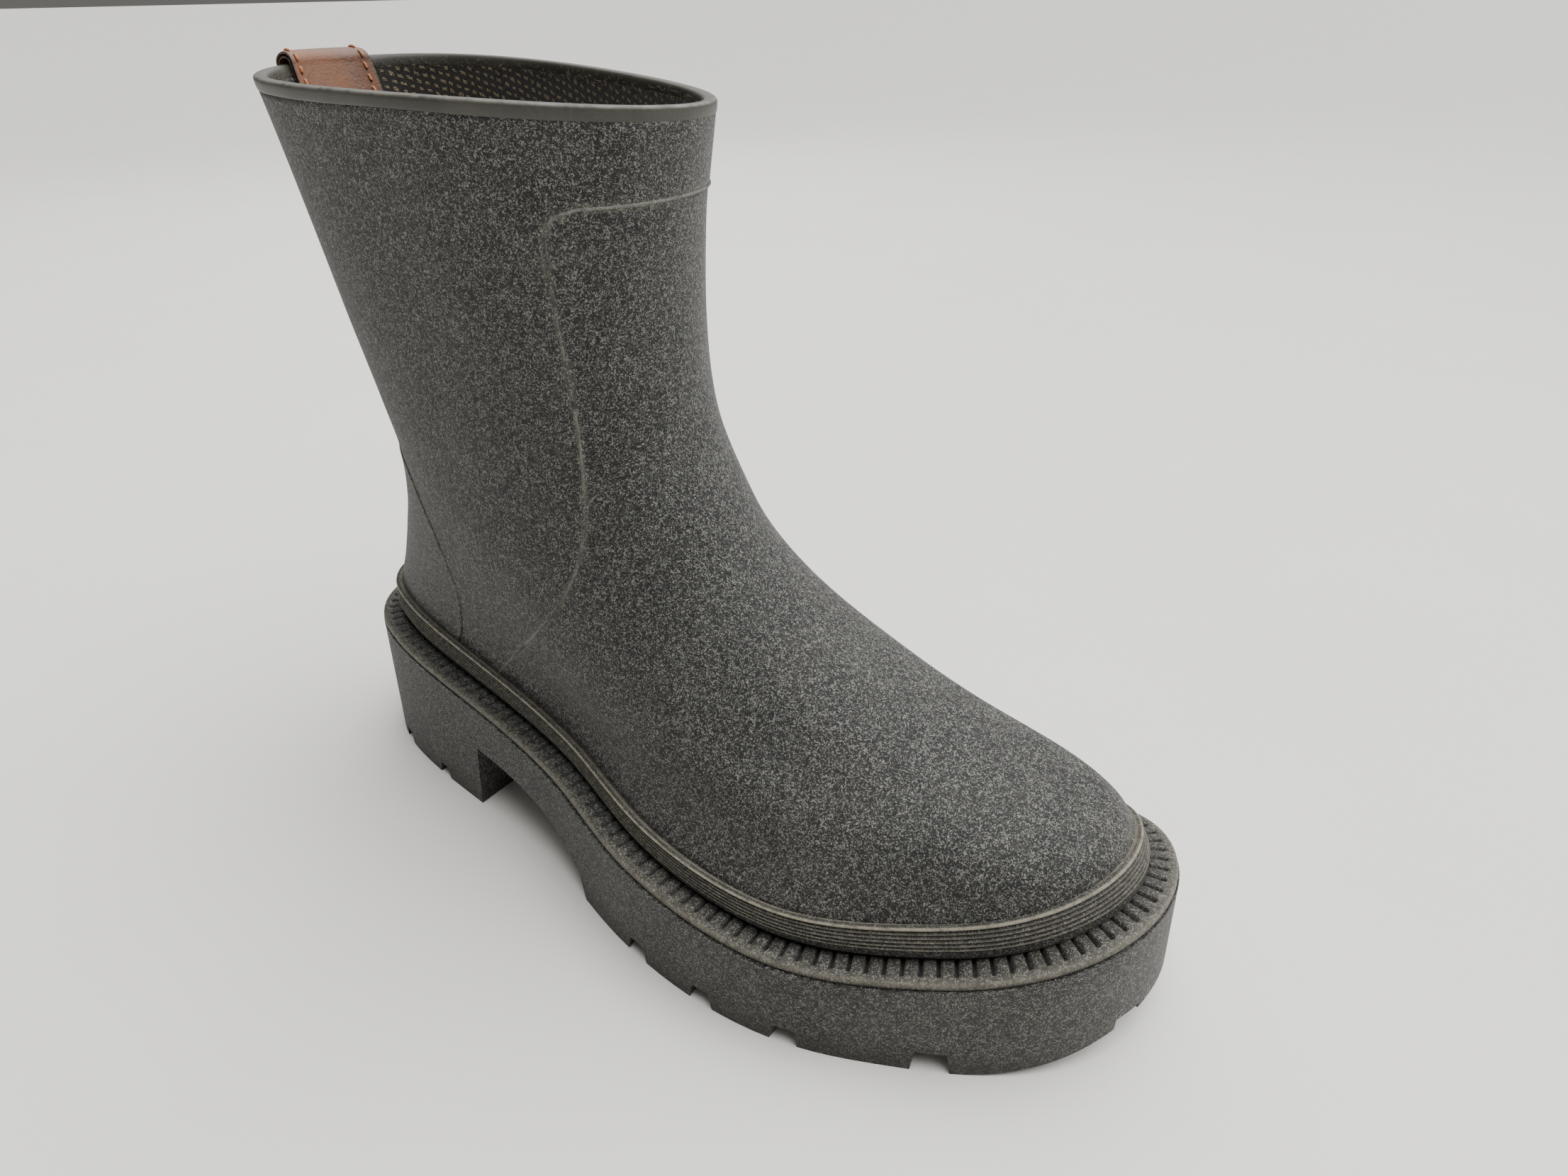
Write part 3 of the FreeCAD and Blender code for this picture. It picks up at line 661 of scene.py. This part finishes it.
# Rows go down the inner face, the wall's thickness in from the rubber's face, and back up behind it.
# The UV map holds lengths round the mouth and down the heel, in centimetres.
def makeLining():
    angle = (np.arange(lining["columns"]) * turn / lining["columns"] + np.pi)[None]
    low = footHeight(angle) + lining["floor"]
    high = rim(angle) - lining["top"]
    z = high + np.linspace(0, 1, lining["rows"])[:, None]**lining["rowGrowth"] * (low - high)
    faceIn = wallPoint(angle, z, boot["wall"])
    pick = np.linspace(lining["rows"] - 1, 0, lining["outerRows"]).astype(int)
    faceOut = wallPoint(angle, z[pick], boot["rubber"] + lining["behind"])
    grid = np.concatenate([faceIn, faceOut])
    mouth = np.concatenate([faceIn[0], faceIn[0, :1]])
    around = np.concatenate([[0], np.cumsum(np.linalg.norm(np.diff(mouth, axis=0), axis=1))])
    down = np.concatenate([[0], np.cumsum(np.linalg.norm(np.diff(faceIn[:, 0], axis=0), axis=1))])
    down = np.pad(down, (0, len(grid) + 1 - len(down)), mode="edge")[:, None]
    uv = (spreadOver(around * 0.1, down), spreadOver(down * 0.1, around))
    return gridMesh("knit_lining", grid, along=True, uv=uv, closed=True)


# Short loose fibres that stand off the lining's cut edge
def makeFray():
    count = lining["fibres"]
    angle = random.uniform(0, turn, count)
    start = wallPoint(angle, rim(angle) - random.uniform(*lining["fibreFrom"], count), boot["wall"] - 0.1)
    inward = -upperNormal(angle, rim(angle) - 3)
    drift = random.normal(0, 0.5, (count, 3)) + inward * random.uniform(0.25, 0.9, count)[:, None]
    drift[:, 2] += random.uniform(-0.2, 0.9, count)
    reach = random.uniform(*lining["fibreReach"], count)[:, None]
    curl = random.normal(0, 0.5, (count, 3))
    t = np.linspace(0, 1, len(lining["fibreRadius"]))[None, :, None]
    lines = start[:, None] + (unit(drift) * reach)[:, None] * t + curl[:, None] * t * t
    return tubeMesh("lining_fray", lines, np.array(lining["fibreRadius"]), 3)


# Twill: short tan floats in slanting rows over black knit. The UV map is in centimetres.
def liningMaterial():
    material, tree, surface = newMaterial("twillKnit", Roughness=0.95, Sheen_Weight=0.35, Sheen_Roughness=0.5)
    uv = add(tree, "UVMap", uv_map="cloth").outputs["UV"]
    wander = noise(tree, uv, 9.0, 2.0)
    slant = add(tree, "Mapping", {"Vector": uv, "Rotation": (0, 0, 0.3)}).outputs["Vector"]
    wale = add(tree, "TexWave", {"Vector": slant, "Scale": 1.35, "Distortion": 2.2, "Detail": 2.0,
                                 "Detail Scale": 2.2}, bands_direction="Y").outputs["Fac"]
    stitch = add(tree, "TexWave", {"Vector": uv, "Scale": 1.2, "Distortion": 3.0, "Detail": 2.0,
                                   "Detail Scale": 2.0}, bands_direction="X").outputs["Fac"]
    missed = noise(tree, uv, 22.0, 2.0)
    yarn = times(tree, span(tree, wale, 0.5, 0.8), span(tree, stitch, 0.35, 0.6))
    yarn = times(tree, yarn, span(tree, missed, 0.4, 0.5))
    fuzz = noise(tree, objectPlace(tree), 1500.0, 4.0, 0.7)
    colour = blendColour(tree, span(tree, fuzz, 0.4, 0.65), tint(15, 13, 11), tint(33, 30, 25))
    colour = blendColour(tree, yarn, colour, tint(128, 116, 84))
    colour = blendColour(tree, times(tree, span(tree, wander, 0.55, 0.8), 0.3), colour, tint(58, 52, 40))
    wire(tree, colour, surface, "Base Color")
    normal = bump(tree, yarn, 0.0004, 0.8)
    wire(tree, bump(tree, fuzz, 0.0003, 0.8, normal), surface, "Normal")
    return material


def frayMaterial():
    material, tree, surface = newMaterial("frayedYarn", Roughness=0.95, Sheen_Weight=0.3)
    patch = span(tree, noise(tree, objectPlace(tree), 500.0, 2.0), 0.35, 0.65)
    wire(tree, blendColour(tree, patch, tint(30, 27, 22), tint(98, 90, 70)), surface, "Base Color")
    return material


finishPiece(makeLining(), liningMaterial(), ["lining"])
finishPiece(makeFray(), frayMaterial(), [])
print("lining done")

# Pull loop
loop = {
    "centre": 5.5, "width": 28.0, "ply": 1.15, "gap": 0.02, "drop": 27.0, "legShare": 0.42, "topDrop": 0.4,
    "archRise": 1.25, "steps": 90, "sides": 44, "waist": 0.05, "waistLength": 0.09,
    "thread": 0.42, "taper": (0, 0.8, 1, 1, 1, 1, 0.8, 0), "stitchInset": 2.7, "stitchFill": 0.74,
    "stitchProud": 0.22, "stitchDip": 0.6,
    "sideStitches": 17, "sideSpan": 0.92, "sideSlant": 0.25, "endStitches": 6, "endRows": (0.035, 0.965),
}


# Angle near the heel where the wall has that y, by following the chord through the last two tries
def backAngle(y, z, depth):
    last, angle = np.full(y.shape, np.pi), np.full(y.shape, np.pi - 0.2)
    lastY = wallPoint(last, z, depth, 3)[..., 1]
    for step in range(4):
        nowY = wallPoint(angle, z, depth, 3)[..., 1]
        slope = (angle - last) / np.where(nowY == lastY, 1, nowY - lastY)
        change = np.where(np.abs(nowY - lastY) > 1e-6, slope, 0)
        last, lastY, angle = angle, nowY, angle + (y - nowY) * change
    return angle


# Strap surface: s from 0 at the outer end over the mouth to 1 at the inner end, at a height off the wall.
# The two legs follow the wall and the top is half an ellipse from one to the other.
def strapPoint(s, y, lift):
    s, y, lift = np.broadcast_arrays(s, y, lift)
    top = rim(np.full(s.shape, np.pi)) - loop["topDrop"]
    leg = loop["legShare"]
    zOut = top - loop["drop"] + loop["drop"] * np.clip(s / leg, 0, 1)
    zIn = top - loop["drop"] + loop["drop"] * np.clip((1 - s) / leg, 0, 1)
    a = wallPoint(backAngle(y, zOut, -lift), zOut, -lift)
    b = wallPoint(backAngle(y, zIn, boot["wall"] + lift), zIn, boot["wall"] + lift)
    t = np.clip((s - leg) / (1 - 2 * leg), 0, 1) * np.pi
    arch = (a + b) / 2 + (a - b) / 2 * np.cos(t)[..., None]
    arch[..., 2] = top + (loop["archRise"] + lift) * np.sin(t)
    return np.where((s < leg)[..., None], a, np.where((s > 1 - leg)[..., None], b, arch))


# Rounded strap section: width and height are signed powers of cos t and sin t, closed at both ends
def makePly(name, low, high, shorter):
    s = np.linspace(shorter, 1 - shorter, loop["steps"])[:, None]
    t = (np.arange(loop["sides"]) * turn / loop["sides"])[None]
    width = loop["width"] / 2 * signedPower(np.cos(t), 0.3)
    width = width * (1 - loop["waist"] * np.exp(-((s - 0.5) / loop["waistLength"])**2))
    middle = (low + high) / 2
    grid = strapPoint(s, loop["centre"] + width, middle + (high - low) / 2 * signedPower(np.sin(t), 0.6))
    tips = [strapPoint(np.full((1, 1), at), loop["centre"], middle) for at in (shorter, 1 - shorter)]
    ends = [np.repeat(tip, loop["sides"], 1) for tip in tips]
    border = np.maximum(np.abs(np.cos(t))**0.3, np.abs(2 * s - 1) / (1 - 2 * shorter))
    marks = {"border": np.concatenate([border[:1], border, border[-1:]])}
    return gridMesh(name, np.concatenate([ends[0], grid, ends[1]]), marks=marks, merge=True)


# A stitch runs over t from -0.5 to 0.5, proud of the leather, and dips in at its ends by a fourth power
def stitchRun():
    t = np.linspace(-0.5, 0.5, len(loop["taper"]))
    return t, 2 * loop["ply"] + loop["stitchProud"] - loop["stitchDip"] * np.abs(2 * t)**4


def stitchMesh(name, rows):
    return tubeMesh(name, np.concatenate(rows), loop["thread"] * np.array(loop["taper"]), 8)


def makeEdgeStitches():
    t, lift = stitchRun()
    place = (np.arange(loop["sideStitches"])[:, None] + 0.5 + t * loop["stitchFill"]) / loop["sideStitches"]
    s = (1 - loop["sideSpan"]) / 2 + place * loop["sideSpan"]
    reach = loop["width"] / 2 - loop["stitchInset"] + loop["sideSlant"] * t
    return stitchMesh("loop_side_stitches",
                      [strapPoint(s, loop["centre"] + side * reach, lift) for side in (-1, 1)])


def makeEndStitches():
    t, lift = stitchRun()
    place = (np.arange(loop["endStitches"])[:, None] + 0.5 + t * loop["stitchFill"]) / loop["endStitches"]
    y = loop["centre"] + (place - 0.5) * (loop["width"] - 2 * loop["stitchInset"])
    return stitchMesh("loop_end_stitches", [strapPoint(at, y, lift) for at in loop["endRows"]])


def leatherMaterial():
    material, tree, surface = newMaterial("tanLeather", Roughness=0.55, Coat_Weight=0.08, Coat_Roughness=0.35)
    place = objectPlace(tree)
    slow = noise(tree, place, 90.0, 4.0, 0.6, 0.5)
    pores = add(tree, "TexVoronoi", {"Vector": place, "Scale": 1250.0}).outputs["Distance"]
    grain = noise(tree, place, 700.0, 4.0, 0.65)
    colour = blendColour(tree, span(tree, slow, 0.3, 0.7), tint(86, 49, 25), tint(116, 70, 37))
    colour = blendColour(tree, times(tree, span(tree, grain, 0.5, 0.7), 0.35), colour, tint(132, 86, 48))
    colour = blendColour(tree, span(tree, mark(tree, "border"), 0.93, 0.995), colour, tint(48, 27, 16))
    wire(tree, colour, surface, "Base Color")
    wire(tree, span(tree, slow, 0.3, 0.7, 0.42, 0.62), surface, "Roughness")
    normal = bump(tree, pores, 0.00009, 0.6)
    wire(tree, bump(tree, grain, 0.0002, 0.7, normal), surface, "Normal")
    return material


def threadMaterial():
    material, tree, surface = newMaterial("waxedThread", Roughness=0.55, Sheen_Weight=0.2)
    ply = add(tree, "TexWave", {"Vector": objectPlace(tree, (1, 1, 1), (0.5, 0.6, 0.0)), "Scale": 900.0,
                                "Distortion": 0.6}).outputs["Fac"]
    colour = blendColour(tree, ply, tint(150, 82, 40), tint(208, 134, 76))
    wire(tree, colour, surface, "Base Color")
    wire(tree, bump(tree, ply, 0.00012, 0.8), surface, "Normal")
    return material


leather, thread = leatherMaterial(), threadMaterial()
outerPly = makePly("strap_outer_ply", loop["ply"] + loop["gap"], 2 * loop["ply"], 0.0)
finishPiece(outerPly, leather, ["pull_loop"])
innerPly = makePly("strap_inner_ply", 0.05, loop["ply"], 0.006)
finishPiece(innerPly, leather, ["pull_loop_backing"])
finishPiece(makeEdgeStitches(), thread, ["loop_edge_stitching"])
finishPiece(makeEndStitches(), thread, ["loop_anchor_stitching"])
print("pull loop done")

# Footbed
footbed = {
    "columns": 240, "rings": 60, "middle": (150.0, 3.0), "gap": 2.6, "tuck": 4.5, "low": 0.6, "foam": 5.0,
    "cover": 0.8, "foamRound": 0.6, "coverRound": 0.25, "hinge": 165.0, "flex": 14.0,
}


# Flat closed pad: rings shrink towards the middle on top and underneath, with a rounded border
def makePad(name, low, high, edgeRound):
    angle = (np.arange(footbed["columns"]) * turn / footbed["columns"])[None]
    level = footHeight(angle) + (footbed["low"] + footbed["foam"])
    ring = wallPoint(angle, level, boot["wall"] + footbed["gap"])
    ring[..., 0] = ring[..., 0] + footbed["tuck"] * (1 - ease(0, 100, ring[..., 0]))
    share = np.linspace(0, 1, footbed["rings"])[1:]
    shares = np.concatenate([share, [1.0], share[::-1]])[:, None]
    rise = np.concatenate([np.ones(len(share)), [0.5], np.zeros(len(share))])[:, None]
    border = edgeRound * ease(0.96, 1.0, shares)
    middle = np.array(footbed["middle"])
    flat = middle + (ring[..., :2] - middle) * (shares * (1 - 0.004 * np.abs(2 * rise - 1)))[..., None]
    z = ledge(flat[..., 0]) + low + border + (high - low - 2 * border * np.abs(2 * rise - 1)) * rise
    grid = np.concatenate([flat, z[..., None]], -1)
    poles = [np.broadcast_to([*middle, ledge(middle[0]) + height], grid[:1].shape) for height in (high, low)]
    return gridMesh(name, np.concatenate([poles[0], grid, poles[1]]), merge=True)


def clothMaterial(name, dark, light, scale):
    material, tree, surface = newMaterial(name, Roughness=0.95, Sheen_Weight=0.3)
    place = objectPlace(tree)
    warp = add(tree, "TexWave", {"Vector": place, "Scale": scale, "Distortion": 0.8}, bands_direction="X")
    weft = add(tree, "TexWave", {"Vector": place, "Scale": scale, "Distortion": 0.8}, bands_direction="Y")
    weave = times(tree, warp.outputs["Fac"], weft.outputs["Fac"], "MAXIMUM")
    colour = blendColour(tree, weave, dark, light)
    colour = blendColour(tree, times(tree, noise(tree, place, 60.0), 0.4), colour, dark)
    wire(tree, colour, surface, "Base Color")
    wire(tree, bump(tree, weave, 0.0002, 0.8), surface, "Normal")
    return material


def cellMaterial(name, dark, light, scale, roughness=0.9, depth=0.0003):
    material, tree, surface = newMaterial(name, Roughness=roughness)
    place = objectPlace(tree)
    cells = add(tree, "TexVoronoi", {"Vector": place, "Scale": scale}).outputs["Distance"]
    slow = noise(tree, place, scale * 0.4, 3.0)
    colour = blendColour(tree, span(tree, cells, 0.1, 0.6), dark, light)
    colour = blendColour(tree, times(tree, slow, 0.4), colour, dark)
    wire(tree, colour, surface, "Base Color")
    wire(tree, bump(tree, cells, depth, 0.7), surface, "Normal")
    return material


foamTop = footbed["low"] + footbed["foam"]
foam = makePad("footbed_foam", footbed["low"], foamTop, footbed["foamRound"])
cover = makePad("footbed_cloth", foamTop, foamTop + footbed["cover"], footbed["coverRound"])
finishPiece(foam, cellMaterial("blackFoam", tint(14, 14, 14), tint(44, 44, 44), 1400.0),
            ["footbed_front", "footbed_rear"], body=None)
finishPiece(cover, clothMaterial("greyCloth", tint(26, 25, 23), tint(62, 60, 54), 700.0),
            ["footbed_cover_front", "footbed_cover_rear"], body=None)
for pad in (foam, cover):
    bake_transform(pad)
print("footbed done")


# Carried-over pieces keep their shapes and get finishes
def soleMaterial():
    material = rubberMaterial("soleRubber", tint(12, 12, 10), 0.95, grain=0.0003)
    tree = material.node_tree
    surface = tree.nodes["Principled BSDF"]
    colour = surface.inputs["Base Color"].links[0].from_socket
    height = add(tree, "SeparateXYZ", {"Vector": add(tree, "TexCoord").outputs["Object"]}).outputs["Z"]
    dirt = times(tree, 1.0, span(tree, height, 0.0, 0.012), "SUBTRACT")
    colour = blendColour(tree, times(tree, dirt, 0.55), colour, tint(38, 36, 27))
    wire(tree, colour, surface, "Base Color")
    return material


def steelMaterial():
    material, tree, surface = newMaterial("springSteel", Metallic=1.0, Roughness=0.35)
    brushed = noise(tree, objectPlace(tree, (60, 1400, 1400)), 1.0, 3.0)
    wire(tree, blendColour(tree, brushed, tint(120, 122, 125), tint(182, 184, 187)), surface, "Base Color")
    wire(tree, span(tree, brushed, 0.3, 0.7, 0.25, 0.45), surface, "Roughness")
    wire(tree, bump(tree, brushed, 0.00004, 0.6), surface, "Normal")
    return material


carried = {
    "outsole": soleMaterial(),
    "shank": steelMaterial(),
    "midsole_filler": cellMaterial("pressedCork", tint(118, 82, 50), tint(186, 146, 100), 420.0),
    "heel_core": cellMaterial("cellularPlastic", tint(92, 94, 93), tint(148, 150, 148), 500.0),
    "insole_board": cellMaterial("fibreBoard", tint(134, 112, 82), tint(182, 160, 124), 900.0),
    "toe_puff": clothMaterial("stiffenerSheet", tint(150, 146, 134), tint(196, 192, 180), 500.0),
    "counter_stiffener": clothMaterial("counterSheet", tint(150, 146, 134), tint(196, 192, 180), 500.0),
}
for name, material in carried.items():
    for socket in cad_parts[name].material_slots:
        socket.material = material
print("carried-over pieces done")

# Stage, light and camera
stage = {
    "floorHalf": 60.0, "room": tint(205, 201, 196), "roomStrength": 0.24,
    "skyPower": 5.2, "skySpread": 1.5, "skyTilt": (-0.42, 0.3, 0.0), "aim": (0.0, 0.0, 0.1),
}
lamps = {
    "above": {"at": (0.45, 0.0, 1.5), "size": 1.5, "power": 16.0, "colour": (1.0, 0.99, 0.97)},
    "side": {"at": (0.2, -1.5, 0.9), "size": 1.3, "power": 1.0, "colour": (0.98, 0.99, 1.0)},
    "behind": {"at": (-1.0, 0.9, 1.1), "size": 1.2, "power": 8.0, "colour": (1.0, 0.98, 0.96)},
}


def makeFloor():
    half = stage["floorHalf"]
    corners = [(-half, -half, 0), (half, -half, 0), (half, half, 0), (-half, half, 0)]
    mesh = bpy.data.meshes.new("floor")
    mesh.from_pydata(corners, [], [(0, 1, 2, 3)])
    floor = addObject("floor", mesh)
    material, tree, surface = newMaterial("paleFloor", Roughness=0.8)
    soft = noise(tree, objectPlace(tree), 7.0, 3.0)
    wire(tree, blendColour(tree, soft, tint(222, 221, 217), tint(229, 228, 224)), surface, "Base Color")
    mesh.materials.append(material)


def makeLight():
    for name, lamp in lamps.items():
        light = bpy.data.lights.new(name, "AREA")
        light.size = lamp["size"]
        light.energy = lamp["power"]
        light.color = lamp["colour"]
        holder = addObject(name, light)
        holder.location = lamp["at"]
        aim = Vector(stage["aim"]) - Vector(lamp["at"])
        holder.rotation_euler = aim.to_track_quat("-Z", "Y").to_euler()
    sky = bpy.data.lights.new("softSky", "SUN")
    sky.energy = stage["skyPower"]
    sky.angle = stage["skySpread"]
    addObject("softSky", sky).rotation_euler = stage["skyTilt"]
    world = bpy.data.worlds.new("room")
    world.use_nodes = True
    background = world.node_tree.nodes["Background"]
    background.inputs["Color"].default_value = stage["room"]
    background.inputs["Strength"].default_value = stage["roomStrength"]
    bpy.context.scene.world = world


viewer = {"at": (0.18242, -0.20745, 0.2521), "yaw": 2.182, "pitch": -0.521, "roll": -0.018, "lens": 23.98,
          "sensor": 36.0, "near": 0.01}


# The camera looks along yaw and pitch, turned by roll about its own line of sight
def makeCamera():
    data = bpy.data.cameras.new("viewer")
    data.lens = viewer["lens"]
    data.sensor_width = viewer["sensor"]
    data.clip_start = viewer["near"]
    camera = addObject("viewer", data)
    yaw, pitch, roll = viewer["yaw"], viewer["pitch"], viewer["roll"]
    ahead = Vector((np.cos(pitch) * np.cos(yaw), np.cos(pitch) * np.sin(yaw), np.sin(pitch)))
    right = Vector((np.sin(yaw), -np.cos(yaw), 0.0))
    up = right.cross(ahead)
    side = right * np.cos(roll) + up * np.sin(roll)
    top = up * np.cos(roll) - right * np.sin(roll)
    rows = Matrix((side, top, -ahead)).transposed().to_4x4()
    camera.matrix_world = Matrix.Translation(Vector(viewer["at"])) @ rows
    bpy.context.scene.camera = camera


makeFloor()
makeLight()
makeCamera()
print("stage done")
